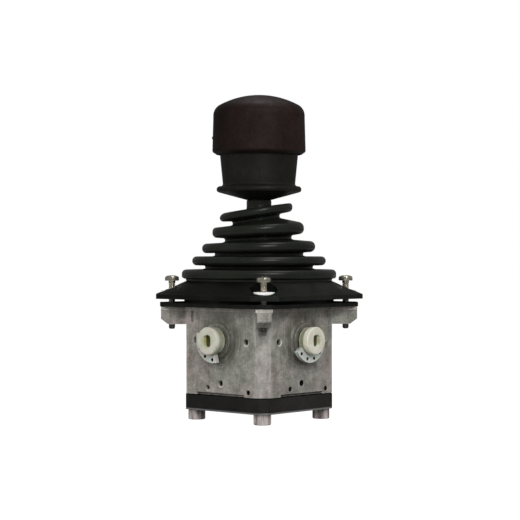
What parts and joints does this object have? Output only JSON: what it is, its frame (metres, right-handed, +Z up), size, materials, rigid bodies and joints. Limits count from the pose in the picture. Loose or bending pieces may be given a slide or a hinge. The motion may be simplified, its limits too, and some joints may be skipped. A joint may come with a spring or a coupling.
{
  "type": "joystick controller",
  "caption": "Panel-mount two-axis joystick controller with rubber bellows, lift sleeve under the knob and cast housing with a sensor hub on each axis.",
  "frame": {"origin": "centre of the top of the gasket plate, where the panel rests, on the upright lever's axis", "axes": "+Z up along the lever; +X and -Y out through the two faces with sensor hubs"},
  "size_m": [0.0962, 0.0962, 0.1899],
  "materials": {
    "cast_housing": "matte casting",
    "black_plastic": "satin",
    "knob_plastic": "satin",
    "bellows_rubber": "satin",
    "seal_rubber": "matte",
    "cream_plastic": "satin",
    "white_plastic": "satin",
    "plated_steel": "bright nickel",
    "dull_steel": "dull zinc",
    "bearing_brass": "machined",
    "machined_aluminium": "machined"
  },
  "bodies": {
    "root": {"housing": "cast_housing", "gasket_plate": "seal_rubber", "panel_seal": "seal_rubber", "clamp_flange": "black_plastic", "panel_screws": "plated_steel", "panel_washers": "white_plastic", "bellows": "bellows_rubber", "base_seal": "seal_rubber", "base_cover": "black_plastic", "base_plate": "machined_aluminium", "base_screws": "dull_steel", "detent_post": "dull_steel", "bearing_bushes": "bearing_brass", "shaft_seals": "seal_rubber", "bearing_caps": "black_plastic", "gimbal_spring": "dull_steel", "bow_spring": "dull_steel"},
    "gimbal": {"gimbal_frame": "machined_aluminium", "gimbal_trunnion_long": "plated_steel", "gimbal_trunnion_short": "plated_steel", "gimbal_hub": "cream_plastic", "pivot_pins": "plated_steel"},
    "lever": {"swivel_block": "machined_aluminium", "lever_tube": "plated_steel", "knob_core": "black_plastic", "knob_cap": "knob_plastic", "sleeve_spring": "dull_steel"},
    "bow": {"bow": "machined_aluminium", "bow_trunnion_long": "plated_steel", "bow_trunnion_short": "plated_steel", "bow_hub": "cream_plastic"},
    "sleeve": {"finger_sleeve": "black_plastic", "lock_rod": "plated_steel", "cross_pin": "plated_steel"}
  },
  "joints": [
    {"name": "gimbal_tilt", "type": "hinge", "parent": "root", "child": "gimbal", "pos_m": [0, 0, -0.0214], "axis": [1, 0, 0], "range_deg": [-25, 25], "stiffness_Nm_per_rad": 3, "deforming": ["bellows", "gimbal_spring"]},
    {"name": "lever_tilt", "type": "hinge", "parent": "gimbal", "child": "lever", "pos_m": [0, 0, -0.0214], "axis": [0, 1, 0], "range_deg": [-25, 25], "stiffness_Nm_per_rad": 3, "deforming": ["bellows"]},
    {"name": "bow_turn", "type": "hinge", "parent": "root", "child": "bow", "pos_m": [0, 0, -0.0214], "axis": [0, 1, 0], "range_deg": [-25, 25], "deforming": ["bow_spring"]},
    {"name": "sleeve_lift", "type": "slide", "parent": "lever", "child": "sleeve", "axis": [0, 0, 1], "range_m": [0, 0.008], "stiffness_N_per_m": 400, "springref_m": -0.006, "deforming": ["sleeve_spring"]}
  ],
  "couplings": [
    {"joint": "bow_turn", "follows": "lever_tilt", "ratio": 1}
  ]
}
